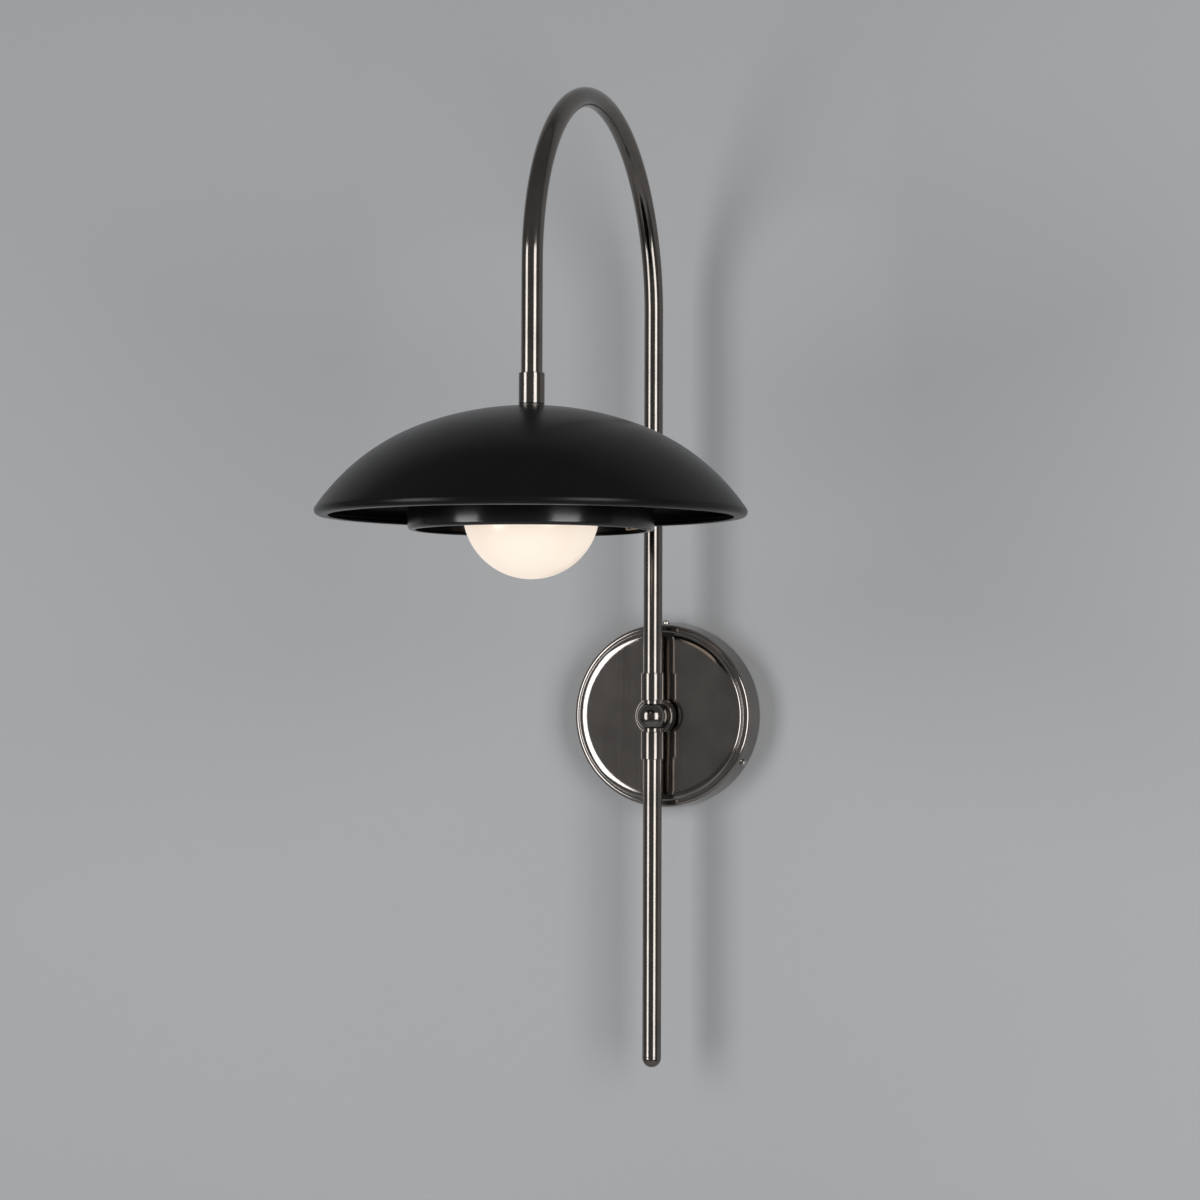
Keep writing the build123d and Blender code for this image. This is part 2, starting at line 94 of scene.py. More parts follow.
class WallSizes(bpy.types.PropertyGroup):
    """Sizes of the canopy and the hub."""
    sheet: length("Sheet", 1.2, "Thickness of the canopy's metal")
    foot_radius: length("Foot radius", 63.5, "Radius of the canopy on the wall")
    foot_depth: length("Foot depth", 2.0, "Straight part of the canopy's side at the wall")
    shoulder_radius: length("Shoulder radius", 62.2, "Radius of the canopy's side below its shoulder")
    shoulder_depth: length("Shoulder depth", 22.6, "Distance of the shoulder from the wall")
    shoulder_corner: length("Shoulder corner", 2.5, "Rounding of the shoulder")
    crown_radius: length("Crown radius", 57.9, "Radius of the raised front")
    crown_depth: length("Crown depth", 27.0, "Distance of the front from the wall")
    flat_radius: length("Flat radius", 51.5, "Radius of the flat of the front")
    crown_arc: length("Crown arc", 16.0, "Large arc between the flat and the edge")
    edge_arc: length("Edge arc", 2.0, "Small arc at the edge of the front")
    step: length("Step", 0.5, "Hollow rounding where the front meets the shoulder")
    rod_hole: length("Rod hole", 5.05, "Radius of the holes that the threaded rods go through")
    screw_depth: length("Screw depth", 11.5, "Distance of the side screws from the wall")
    screw_head: length("Screw head", 2.3, "Radius of the side screws' heads")
    screw_seat: length("Screw seat", 63.0, "Distance of the heads' undersides from the canopy's axis")
    screw_shank: length("Screw shank", 1.5, "Radius of the side screws' shanks")
    screw_end: length("Screw end", 55.0, "Distance of the screws' ends from the canopy's axis")
    ball_radius: length("Ball radius", 10.5, "Radius of the hub's ball")
    boss_radius: length("Boss radius", 13.4, "Radius of the hub's boss")
    boss_edge: length("Boss edge", 1.2, "Rounding of the boss")
    boss_front: length("Boss front", 41.0, "Distance of the boss's front from the wall")
    boss_rear: length("Boss rear", 31.0, "Distance of the boss's rear from the wall")
    groove: length("Groove", 0.8, "Depth of the groove round the ball")
    groove_radius: length("Groove radius", 11.4, "Outer radius of the groove round the ball")
    hub_neck: length("Hub neck", 6.5, "Radius of the hub's necks under the collars")
    hub_flat: length("Hub flat", 10.6, "Height of the flats that the collars butt against")
    spacer_radius: length("Spacer radius", 9.5, "Radius of the spacer behind the hub")
    spacer_edge: length("Spacer edge", 0.9, "Rounding of the spacer's front")


class ArmSizes(bpy.types.PropertyGroup):
    """Sizes of the tubes and their collars."""
    tube_radius: length("Tube radius", 6.35, "Radius of the tube")
    tube_wall: length("Tube wall", 1.2, "Thickness of the tube's wall")
    stem_y: length("Stem place", -42.3, "Axis of the stem in front of the wall")
    reach: length("Reach", 243.0, "Distance from the stem to the shade's axis")
    arch_z: length("Arch height", 271.2, "Height of the arch's centre")
    tip_z: length("Tip height", -236.2, "Lowest point of the stem")
    collar_radius: length("Collar radius", 7.7, "Radius of a collar")
    collar_length: length("Collar length", 18.5, "Length of a collar")
    collar_edge: length("Collar edge", 0.4, "Rounding of a collar's ends")
    collar_thread: length("Collar thread", 8.0, "Length of a collar's threaded end")
    slide_gap: length("Slide gap", 0.05, "Gap between parts that slide into each other")
    cap_seam: length("Cap seam", 0.85, "Height of the end cap's seam over its round end")
    cap_plug: length("Cap plug", 8.0, "Length of the end cap's plug inside the tube")


class ShadeSizes(bpy.types.PropertyGroup):
    """Sizes of the dome and of the ring inside it."""
    sheet: length("Sheet", 1.2, "Thickness of the dome's metal")
    radius: length("Radius", 127.6, "Radius of the dome at its rim")
    rim_z: length("Rim height", 121.2, "Height of the rim")
    height: length("Height", 65.5, "Height of the dome over its rim")
    crown_arc: length("Crown arc", 185.0, "Radius of the top arc")
    arc_joint: length("Arc joint", 65.8, "Radius at which the dome's two arcs meet")
    flat: length("Flat", 12.0, "Radius of the flat at the top")
    corner: length("Corner", 3.0, "Rounding of the rim")
    lip_radius: length("Lip radius", 119.6, "Inner radius of the lip")
    seat: length("Seat", 1.6, "Height of the washer on the dome")
    seat_radius: length("Seat radius", 7.6, "Radius of the washer on the dome")
    ring_radius: length("Ring radius", 72.8, "Radius of the glare ring")
    ring_low: length("Ring low edge", 113.0, "Height of the ring's lower edge")
    ring_high: length("Ring high edge", 152.0, "Height of the ring's upper edge")
    ring_corner: length("Ring corner", 2.5, "Rounding of the ring's lower edge")
    ring_lip: length("Ring lip", 68.5, "Inner radius of the ring's lip")


class GlobeSizes(bpy.types.PropertyGroup):
    """Sizes of the opal globe."""
    radius: length("Radius", 40.5, "Radius of the globe")
    glass: length("Glass", 2.0, "Thickness of the glass")
    centre_z: length("Centre height", 125.0, "Height of the globe's centre")
    neck_radius: length("Neck radius", 18.0, "Outer radius of the neck")
    neck_bore: length("Neck bore", 16.2, "Inner radius of the neck")
    neck_top: length("Neck top", 174.8, "Height of the neck's top")
    neck_fillet: length("Neck fillet", 3.0, "Rounding between globe and neck")
    glow: amount("Glow", 0.6, "Strength of the lit glass")
    lamp_glow: amount("Lamp glow", 2.0, "Strength of the lamp inside")


class Finishes(bpy.types.PropertyGroup):
    """Colours of the finishes."""
    nickel: colour("Dark nickel", (0.17, 0.155, 0.143), "Brushed metal of arm and hub")
    # Lighter copy of the dark nickel: partly the canopy's own tone, partly painted light that brightens
    # what its face reflects.
    canopy_nickel_and_reflection: colour("Canopy nickel", (0.255, 0.235, 0.22), "Brushed metal of the canopy")
    bright_nickel: colour("Bright nickel", (0.5, 0.48, 0.45), "Plating of the side screws")
    black: colour("Satin black", (0.0045, 0.0045, 0.005), "Paint of the shade and the ring")
    black_nickel: colour("Black nickel", (0.08, 0.075, 0.07), "Plating of the washer on the dome")
    # The hanger's cream is painted warm light: its legs on the ring's far inside stand in for the globe's
    # warm glow there.
    hanger_glow_paint: colour("Cream paint", (0.5, 0.42, 0.32), "Paint of the hanger")
    zinc: colour("Zinc", (0.6, 0.61, 0.62), "Plated steel inside")
    green: colour("Green zinc", (0.06, 0.32, 0.12), "Ground screw")
    brass: colour("Brass", (0.72, 0.52, 0.25), "Threaded rods, nuts and contacts")
    ceramic: colour("Ceramic", (0.86, 0.84, 0.78), "Glazed lampholder")
    opal: colour("Opal glass", (0.55, 0.5, 0.44), "Glass of the globe")
    glow: colour("Glow", (1.0, 0.85, 0.7), "Light from inside the globe")
    lamp: colour("Lamp", (0.95, 0.92, 0.85), "Frosted glass of the lamp")
    wall: colour("Wall", (0.385, 0.391, 0.4), "Painted wall behind the light")
    floor: colour("Floor", (0.6, 0.6, 0.6), "Pale floor")


class StageSizes(bpy.types.PropertyGroup):
    """Camera, lamps and backdrop."""
    lens: FloatProperty(name="Lens", description="Focal length in millimetres", default=79.8, min=10.0)
    camera_place: FloatVectorProperty(name="Camera place", description="Where the camera stands",
                                      default=(0.5329, -1.7598, 0.03215), unit="LENGTH", precision=4)
    yaw: angle("Yaw", 18.38, "Turn of the camera to the left")
    pitch: angle("Pitch", 1.47, "Tilt of the camera upwards")
    roll: angle("Roll", 0.2, "Turn of the camera about its view")
    lamp_power: amount("Lamp power", 17.5, "Power of a soft box in watts per square metre")
    right_box: angles("Right box", (45, 23), "Angle to the wall's front, and angle that it spans")
    left_box: angles("Left box", (-35, 20), "Angle to the wall's front, and angle that it spans")
    lamp_distance: length("Lamp distance", 1900.0, "Distance of the soft boxes from the hub")
    lamp_height: angle("Lamp height", 45, "Angle that a soft box spans upright as the hub sees it")
    wall_opening: length("Wall opening", 61.5, "Radius of the backdrop's opening, which the canopy covers")
    fill: amount("Fill", 0.19, "Strength of the grey light from all round")


# --- Making pieces -------------------------------------------------------------

def rounded(corners, steps=6):
    """Points along a run of (radius, height, rounding) corners, with an arc at each rounded one.

    A point is added on each side of an arc where there is room, so that the long faces next to it stay
    flat when they are shaded smooth.
    """
    places = [Vector(corner[:2]) for corner in corners]
    arcs, used = [], []
    for i, here in enumerate(places):
        rounding = corners[i][2]
        if not rounding or i in (0, len(corners) - 1):
            arcs.append([here])
            used.append(0.0)
            continue
        before = (places[i - 1] - here).normalized()
        after = (places[i + 1] - here).normalized()
        half = before.angle(after) / 2
        reach = rounding / math.tan(half)
        centre = here + (before + after).normalized() * (rounding / math.sin(half))
        start = here + before * reach - centre
        turn = start.angle_signed(here + after * reach - centre)
        arcs.append([centre + Matrix.Rotation(-turn * k / steps, 2) @ start for k in range(steps + 1)])
        used.append(reach)
    points = list(arcs[0])
    for i in range(1, len(places)):
        straight = places[i] - places[i - 1]
        free = straight.length - used[i - 1] - used[i]
        if free > 4 * EDGE:
            points += [points[-1] + straight.normalized() * EDGE] if used[i - 1] else []
            points += [arcs[i][0] - straight.normalized() * EDGE] if used[i] else []
        points += arcs[i]
    return points


def arc(centre, radius, start, end, steps):
    """Points on an arc between two angles in the plane of radius and height."""
    return [Vector((centre[0] + radius * math.cos(start + (end - start) * k / steps),
                    centre[1] + radius * math.sin(start + (end - start) * k / steps)))
            for k in range(steps + 1)]


def new_mesh(name):
    """Start a piece as one point at the origin, open in edit mode."""
    bpy.ops.object.select_all(action="DESELECT")
    bpy.ops.mesh.primitive_plane_add(size=MM, location=(0, 0, 0))
    piece = bpy.context.object
    piece.name = name
    piece.data.name = name
    bpy.ops.object.mode_set(mode="EDIT")
    bpy.ops.mesh.select_all(action="SELECT")
    bpy.ops.mesh.merge(type="CENTER")
    return piece


def close_mesh():
    """Tidy the open piece and leave edit mode."""
    bpy.ops.mesh.select_all(action="SELECT")
    bpy.ops.mesh.remove_doubles(threshold=MERGE_DISTANCE)
    bpy.ops.mesh.normals_make_consistent(inside=False)
    bpy.ops.object.mode_set(mode="OBJECT")


def pick(*pieces):
    """Select these pieces alone, with the first one active."""
    bpy.ops.object.select_all(action="DESELECT")
    for piece in pieces:
        piece.select_set(True)
    bpy.context.view_layer.objects.active = pieces[0]


def apply_modifiers(piece):
    """Apply every modifier of a piece."""
    pick(piece)
    for modifier in list(piece.modifiers):
        bpy.ops.object.modifier_apply(modifier=modifier.name)


def smooth(piece):
    """Shade a piece smooth, but for its sharp edges."""
    pick(piece)
    bpy.ops.object.shade_smooth_by_angle(angle=SHARP_ANGLE)
    return piece


def turned(name, profile, base, axis, steps, side=(1, 0, 0), closed=True):
    """Turn a profile of (radius, height) points about an axis through base, starting on one side of it."""
    base, axis, side = Vector(base), Vector(axis), Vector(side)
    places = [base + side * p[0] + axis * p[1] for p in profile]
    if closed:
        places.append(places[0])
    piece = new_mesh(name)
    bpy.ops.transform.translate(value=places[0])
    for here, there in zip(places, places[1:]):
        bpy.ops.mesh.extrude_region_move(TRANSFORM_OT_translate={"value": there - here})
    bpy.ops.mesh.select_all(action="SELECT")
    bpy.ops.mesh.spin(steps=steps, angle=2 * math.pi, center=base, axis=axis, use_auto_merge=True)
    close_mesh()
    return smooth(piece)


def finish_piece(piece, material, body, nodes):
    """Give a piece its material and body, and let it stand for its CAD nodes."""
    piece.data.materials.clear()
    piece.data.materials.append(material)
    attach(piece, body)
    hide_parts(*nodes)


def dress(node, material):
    """Give a CAD node its material."""
    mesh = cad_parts[node].data
    mesh.materials.clear()
    mesh.materials.append(material)


# --- Materials -----------------------------------------------------------------

def node_material(name):
    """An empty node material with its shader."""
    material = bpy.data.materials.new(name)
    material.use_nodes = True
    tree = material.node_tree
    return material, tree, tree.nodes["Principled BSDF"]


def pattern(tree, scale, detail, stretch=(1, 1, 1)):
    """Noise on the object's own coordinates, stretched along its axes."""
    place = tree.nodes.new("ShaderNodeTexCoord")
    mapping = tree.nodes.new("ShaderNodeMapping")
    mapping.inputs["Scale"].default_value = stretch
    noise = tree.nodes.new("ShaderNodeTexNoise")
    noise.inputs["Scale"].default_value = scale
    noise.inputs["Detail"].default_value = detail
    tree.links.new(place.outputs["Object"], mapping.inputs["Vector"])
    tree.links.new(mapping.outputs["Vector"], noise.inputs["Vector"])
    return noise.outputs["Fac"]


def spread(tree, value, low, high):
    """Map a noise pattern onto a range."""
    ranged = tree.nodes.new("ShaderNodeMapRange")
    ranged.inputs["From Min"].default_value = NOISE_RANGE[0]
    ranged.inputs["From Max"].default_value = NOISE_RANGE[1]
    ranged.inputs["To Min"].default_value = low
    ranged.inputs["To Max"].default_value = high
    tree.links.new(value, ranged.inputs["Value"])
    return ranged.outputs["Result"]


def vary_colour(tree, shader, value, base, low, high):
    """Vary the base colour between two brightnesses of one colour."""
    mix = tree.nodes.new("ShaderNodeMix")
    mix.data_type = "RGBA"
    mix.inputs["A"].default_value = (*[c * low for c in base], 1)
    mix.inputs["B"].default_value = (*[min(1, c * high) for c in base], 1)
    tree.links.new(spread(tree, value, low=0, high=1), mix.inputs["Factor"])
    tree.links.new(mix.outputs["Result"], shader.inputs["Base Color"])


def vary_roughness(tree, shader, value, low, high):
    """Vary the roughness between two values."""
    tree.links.new(spread(tree, value, low, high), shader.inputs["Roughness"])


def raise_by(tree, shader, value, height, strength):
    """Use a pattern as bump of that height."""
    bump = tree.nodes.new("ShaderNodeBump")
    bump.inputs["Distance"].default_value = height
    bump.inputs["Strength"].default_value = strength
    tree.links.new(value, bump.inputs["Height"])
    tree.links.new(bump.outputs["Normal"], shader.inputs["Normal"])


def light_up(shader, strength):
    """Let a surface glow in the lamp's colour."""
    shader.inputs["Emission Color"].default_value = (*bpy.context.scene.light_finishes.glow, 1)
    shader.inputs["Emission Strength"].default_value = strength


def brushed_nickel(name, metal, stretch, rough, scale=1.0):
    """Dark nickel with fine brush lines along the axes whose stretch is small."""
    material, tree, shader = node_material(name)
    lines = pattern(tree, scale, detail=6.0, stretch=stretch)
    cloud = pattern(tree, scale=45.0, detail=3.0)
    shader.inputs["Metallic"].default_value = 1.0
    vary_colour(tree, shader, cloud, metal, low=0.86, high=1.12)
    vary_roughness(tree, shader, lines, *rough)
    raise_by(tree, shader, lines, height=0.01 * MM, strength=0.35)
    return material


def satin_paint(name, paint, rough, grain=900.0, shine=0.5):
    """Satin paint with a faint orange peel."""
    material, tree, shader = node_material(name)
    peel = pattern(tree, scale=grain, detail=2.0)
    cloud = pattern(tree, scale=14.0, detail=4.0)
    vary_colour(tree, shader, cloud, paint, low=0.85, high=1.15)
    shader.inputs["Specular IOR Level"].default_value = shine
    vary_roughness(tree, shader, cloud, *rough)
    raise_by(tree, shader, peel, height=0.02 * MM, strength=0.25)
    return material


def plated(name, metal, rough=(0.24, 0.4)):
    """Plain plated or bare metal with cloudy gloss and fine scratches."""
    material, tree, shader = node_material(name)
    cloud = pattern(tree, scale=160.0, detail=5.0)
    scratch = pattern(tree, scale=300.0, detail=4.0, stretch=(1, 1, 14))
    shader.inputs["Metallic"].default_value = 1.0
    vary_colour(tree, shader, cloud, metal, low=0.8, high=1.1)
    vary_roughness(tree, shader, cloud, *rough)
    raise_by(tree, shader, scratch, height=0.01 * MM, strength=0.3)
    return material


def glazed_ceramic(name):
    """White glazed ceramic with slight waves in its glaze."""
    material, tree, shader = node_material(name)
    ceramic = bpy.context.scene.light_finishes.ceramic
    waves = pattern(tree, scale=220.0, detail=2.0)
    vary_colour(tree, shader, waves, ceramic, low=0.95, high=1.03)
    vary_roughness(tree, shader, waves, low=0.12, high=0.22)
    raise_by(tree, shader, waves, height=0.04 * MM, strength=0.3)
    return material


def lit_opal(name):
    """Opal glass that glows from inside."""
    scene = bpy.context.scene
    material, tree, shader = node_material(name)
    cloud = pattern(tree, scale=30.0, detail=2.0)
    vary_colour(tree, shader, cloud, scene.light_finishes.opal, low=0.97, high=1.0)
    vary_roughness(tree, shader, cloud, low=0.14, high=0.2)
    light_up(shader, scene.light_globe.glow)
    return material


def frosted_lamp(name):
    """Frosted capsule of the lamp, lit."""
    scene = bpy.context.scene
    material, tree, shader = node_material(name)
    cloud = pattern(tree, scale=300.0, detail=2.0)
    vary_colour(tree, shader, cloud, scene.light_finishes.lamp, low=0.96, high=1.0)
    vary_roughness(tree, shader, cloud, low=0.35, high=0.5)
    shader.inputs["Transmission Weight"].default_value = 0.5
    light_up(shader, scene.light_globe.lamp_glow)
    return material


def wall_paint(name, paint):
    """Wall paint that shows from the front only."""
    material, tree, shader = node_material(name)
    grain = pattern(tree, scale=700.0, detail=2.0)
    cloud = pattern(tree, scale=1.5, detail=2.0)
    vary_colour(tree, shader, cloud, paint, low=0.98, high=1.02)
    shader.inputs["Roughness"].default_value = 0.7
    raise_by(tree, shader, grain, height=0.05 * MM, strength=0.2)
    clear = tree.nodes.new("ShaderNodeBsdfTransparent")
    geometry = tree.nodes.new("ShaderNodeNewGeometry")
    mix = tree.nodes.new("ShaderNodeMixShader")
    tree.links.new(geometry.outputs["Backfacing"], mix.inputs["Fac"])
    tree.links.new(shader.outputs["BSDF"], mix.inputs[1])
    tree.links.new(clear.outputs["BSDF"], mix.inputs[2])
    tree.links.new(mix.outputs["Shader"], tree.nodes["Material Output"].inputs["Surface"])
    return material


def floor_paint(name, paint):
    """Matt paint with faint clouds."""
    material, tree, shader = node_material(name)
    cloud = pattern(tree, scale=3.0, detail=3.0)
    vary_colour(tree, shader, cloud, paint, low=0.98, high=1.02)
    shader.inputs["Roughness"].default_value = 0.8
    return material


# --- Shapes of the pressed and spun sheets --------------------------------------

def canopy_profile(w, inset):
    """One side of the canopy's sheet, from the hole in its front to its foot on the wall."""
    slope = math.asin((w.crown_radius - w.flat_radius - w.edge_arc) / (w.crown_arc - w.edge_arc))
    centre = w.crown_depth - w.crown_arc
    edge_centre = (w.crown_radius - w.edge_arc, centre + (w.crown_arc - w.edge_arc) * math.cos(slope))
    step_centre = (w.crown_radius + w.step, w.shoulder_depth + w.step)
    shoulder = w.shoulder_depth - inset
    foot = w.foot_radius - inset
    front = arc((w.flat_radius, centre), w.crown_arc - inset, QUARTER, QUARTER - slope, steps=12)
    edge = arc(edge_centre, w.edge_arc - inset, QUARTER - slope, 0.0, steps=8)
    hollow = arc(step_centre, w.step + inset, math.pi, 1.5 * math.pi, steps=6)
    side = rounded([(hollow[-1][0], shoulder, 0),
                    (w.shoulder_radius - inset, shoulder, w.shoulder_corner - inset),
                    (foot, w.foot_depth, 0), (foot, 0.0, 0)], steps=8)
    return [Vector((w.rod_hole, w.crown_depth - inset))] + front + edge[1:] + hollow + side[1:]


def shade_foot():
    """The point on the shade's axis that is level with the hub."""
    a = bpy.context.scene.light_arm
    return Vector((0, a.stem_y - a.reach, 0))


def shade_top(s):
    """Height of the flat at the top of the dome."""
    centre = s.rim_z + s.height - s.crown_arc
    turn = math.asin(s.flat / s.crown_arc)
    return centre + (s.crown_arc - s.sheet / 2) * math.cos(turn) + s.sheet / 2


def dome_profile(s, hole, inset):
    """One side of the dome's sheet, from the hole at its top to the end of its lip.

    Two arcs meet smoothly at the joint, and the second one ends where the rim's rounding starts.
    """
    centre = s.rim_z + s.height - s.crown_arc
    joint = math.asin(s.arc_joint / s.crown_arc)
    corner = Vector((s.radius - s.corner, s.rim_z + s.corner))
    reach = corner - Vector((0, centre))
    way = Vector((math.sin(joint), math.cos(joint)))
    inner = s.crown_arc - s.corner
    shift = (reach.length_squared - inner**2) / (2 * (reach.dot(way) - inner))
    middle = Vector((0, centre)) + way * shift
    last = math.atan2(corner[1] - middle[1], corner[0] - middle[0])
    flat_turn = math.asin(s.flat / s.crown_arc)
    crown = arc((0, centre), s.crown_arc - inset, QUARTER - flat_turn, QUARTER - joint, steps=28)
    shoulder = arc(middle, s.crown_arc - shift - inset, QUARTER - joint, last, steps=40)
    bend = arc(corner, s.corner - inset, last, -QUARTER, steps=14)
    top = Vector((hole, shade_top(s) - inset))
    return [top] + crown + shoulder[1:] + bend[1:] + [Vector((s.lip_radius, s.rim_z + inset))]


# --- Operators: one for each piece or group ------------------------------------

class LIGHT_OT_canopy(bpy.types.Operator):
    """Spin the stamped canopy and set its three side screws"""
    bl_idname = "wall_light.canopy"
    bl_label = "Canopy"

    def execute(self, context):
        w = context.scene.light_wall
        # The canopy's lighter nickel is partly painted light, brightening the reflections in its face.
        nickel = context.scene.light_finishes.canopy_nickel_and_reflection
        sheet = canopy_profile(w, 0.0) + canopy_profile(w, w.sheet)[::-1]
        canopy = turned("canopy_cover", sheet, (0, 0, 0), OUT_OF_WALL, steps=192)
        metal = brushed_nickel("canopy_brushed_nickel", nickel, stretch=(1600, 1600, 12),
                               rough=(0.08, 0.13))
        finish_piece(canopy, metal, "fixture", ["canopy"])
        self.side_screws(w)
        return {"FINISHED"}

    def side_screws(self, w):
        """Three round heads with their shanks"""
        head, seat = w.screw_head, w.screw_seat
        shoulder = head * 0.55  # where the head's top and side go over into its slope
        rounding = head * 0.4
        profile = rounded([(0, seat + head, 0), (shoulder, seat + head, rounding),
                           (head, seat + shoulder, rounding), (head, seat, 0), (w.screw_shank, seat, 0),
                           (w.screw_shank, w.screw_end, 0), (0, w.screw_end, 0)], steps=5)
        screws = []
        for degrees in (90, 210, 330):
            way = (math.cos(math.radians(degrees)), 0, math.sin(math.radians(degrees)))
            screws.append(turned(f"side_screw_{degrees}", profile, (0, -w.screw_depth, 0), way,
                                 side=(0, 1, 0), closed=False, steps=32))
        pick(*screws)
        bpy.ops.object.join()
        screws[0].name = "canopy_side_screws"
        bright = bpy.context.scene.light_finishes.bright_nickel
        metal = plated("side_screw_nickel", bright, rough=(0.18, 0.3))
        finish_piece(screws[0], metal, "fixture", ["canopy_screws"])


class LIGHT_OT_hub(bpy.types.Operator):
    """Turn the hub with its necks and flats, and turn the spacer behind it"""
    bl_idname = "wall_light.hub"
    bl_label = "Hub"

    def execute(self, context):
        w = context.scene.light_wall
        stem = -context.scene.light_arm.stem_y
        groove = w.boss_front - w.groove
        ball = arc((0, stem), w.ball_radius, QUARTER, math.asin((groove - stem) / w.ball_radius), steps=24)
        boss = rounded([(ball[-1][0], groove, 0), (w.groove_radius, groove, 0),
                        (w.groove_radius, w.boss_front, EDGE), (w.boss_radius, w.boss_front, w.boss_edge),
                        (w.boss_radius, w.boss_rear, w.boss_edge), (0, w.boss_rear, 0)], steps=8)
        hub = turned("hub_ball_and_boss", ball + boss[1:], (0, 0, 0), OUT_OF_WALL, closed=False, steps=96)
        overlong = 3 * w.hub_flat  # the necks' ends are cut off at the flats
        bpy.ops.mesh.primitive_cylinder_add(vertices=64, radius=w.hub_neck, depth=overlong,
                                            location=(0, -stem, 0))
        neck = bpy.context.object
        union = hub.modifiers.new("necks", "BOOLEAN")
        union.operation = "UNION"
        union.object = neck
        apply_modifiers(hub)
        bpy.data.objects.remove(neck)
        bpy.ops.object.mode_set(mode="EDIT")
        for side in (1, -1):
            bpy.ops.mesh.select_all(action="SELECT")
            bpy.ops.mesh.bisect(plane_co=(0, 0, side * w.hub_flat), plane_no=(0, 0, side),
                                use_fill=True, clear_outer=True)
        close_mesh()
        smooth(hub)
        nickel = context.scene.light_finishes.nickel
        metal = brushed_nickel("hub_turned_nickel", nickel, stretch=(400, 400, 400), rough=(0.1, 0.16),
                               scale=3.0)
        finish_piece(hub, metal, "fixture", ["hub_body"])
        profile = rounded([(w.rod_hole, w.crown_depth, 0), (w.spacer_radius, w.crown_depth, EDGE),
                           (w.spacer_radius, w.boss_rear, w.spacer_edge), (w.rod_hole, w.boss_rear, 0)])
        spacer = turned("hub_spacer_collar", profile, (0, 0, 0), OUT_OF_WALL, steps=72)
        finish_piece(spacer, metal, "fixture", ["hub_spacer"])
        return {"FINISHED"}


class LIGHT_OT_arm(bpy.types.Operator):
    """Bend the gooseneck tube, and make the lower tube with its cap and the three collars"""
    bl_idname = "wall_light.arm"
    bl_label = "Arm"

    def execute(self, context):
        a = context.scene.light_arm
        w = context.scene.light_wall
        s = context.scene.light_shade
        start_z = w.hub_flat + a.collar_thread
        collar_z = shade_top(s) + s.seat
        nickel = context.scene.light_finishes.nickel
        metal = brushed_nickel("arm_brushed_nickel", nickel, stretch=(1500, 1500, 9), rough=(0.1, 0.15))
        turned_metal = brushed_nickel("collar_turned_nickel", nickel, stretch=(160, 160, 2600),
                                      rough=(0.1, 0.16))
        self.gooseneck(a, start_z, collar_z + a.collar_thread, metal)
        self.lower_tube(a, -start_z, metal)
        self.collars(a, w, collar_z, turned_metal)
        return {"FINISHED"}

    def gooseneck(self, a, start_z, end_z, metal):
        """A tube that goes up from the hub, over the arch and down to the shade"""
        bpy.ops.object.select_all(action="DESELECT")
        bpy.ops.mesh.primitive_circle_add(vertices=64, radius=a.tube_radius,
                                          location=(0, a.stem_y, start_z))
        tube = bpy.context.object
        tube.name = "arm_gooseneck"
        bpy.ops.object.transform_apply(location=True)
        bpy.ops.object.mode_set(mode="EDIT")
        bpy.ops.mesh.select_all(action="SELECT")
        bpy.ops.mesh.extrude_region_move(TRANSFORM_OT_translate={"value": (0, 0, a.arch_z - start_z)})
        bpy.ops.mesh.spin(steps=160, angle=math.pi, center=(0, a.stem_y - a.reach / 2, a.arch_z),
                          axis=(-1, 0, 0))
        bpy.ops.mesh.extrude_region_move(TRANSFORM_OT_translate={"value": (0, 0, end_z - a.arch_z)})
        close_mesh()
        wall = tube.modifiers.new("wall", "SOLIDIFY")
        wall.thickness = a.tube_wall
        wall.offset = -1
        apply_modifiers(tube)
        smooth(tube)
        finish_piece(tube, metal, "fixture", ["gooseneck_tube"])

    def lower_tube(self, a, top, metal):
        """A straight tube below the hub, and the plug that closes it"""
        stem = (0, a.stem_y, 0)
        centre = a.tip_z + a.tube_radius
        seam = centre + a.cap_seam
        bore = a.tube_radius - a.tube_wall
        profile = rounded([(bore, top, 0), (a.tube_radius, top, EDGE), (a.tube_radius, seam, EDGE),
                           (bore, seam, 0)], steps=3)
        lower = turned("arm_lower_tube", profile, stem, UP, steps=64)
        finish_piece(lower, metal, "fixture", ["lower_tube"])
        plug = bore - a.slide_gap
        plug_top = seam + a.cap_plug
        tip = arc((0, centre), a.tube_radius, -QUARTER, 0, steps=16)
        side = rounded([(a.tube_radius, centre, 0), (a.tube_radius, seam, EDGE), (plug, seam, 0),
                        (plug, plug_top, 0), (0, plug_top, 0)], steps=3)
        cap = turned("arm_end_cap", tip + side[1:], stem, UP, closed=False, steps=64)
        finish_piece(cap, metal, "fixture", ["end_cap"])

    def collars(self, a, w, shade_z, metal):
        """Three turned collars over the ends of the tubes"""
        socket = a.tube_radius + a.slide_gap
        profile = rounded([(w.rod_hole, 0, 0), (a.collar_radius, 0, a.collar_edge),
                           (a.collar_radius, a.collar_length, a.collar_edge),
                           (socket, a.collar_length, EDGE), (socket, a.collar_thread, 0),
                           (w.rod_hole, a.collar_thread, 0)], steps=5)
        places = (("upper", a.stem_y, w.hub_flat, 1), ("lower", a.stem_y, -w.hub_flat, -1),
                  ("shade", a.stem_y - a.reach, shade_z, 1))
        for name, y, z, way in places:
            collar = turned(f"{name}_tube_collar", profile, (0, y, z), UP * way, steps=96)
            finish_piece(collar, metal, "fixture", [f"{name}_collar"])


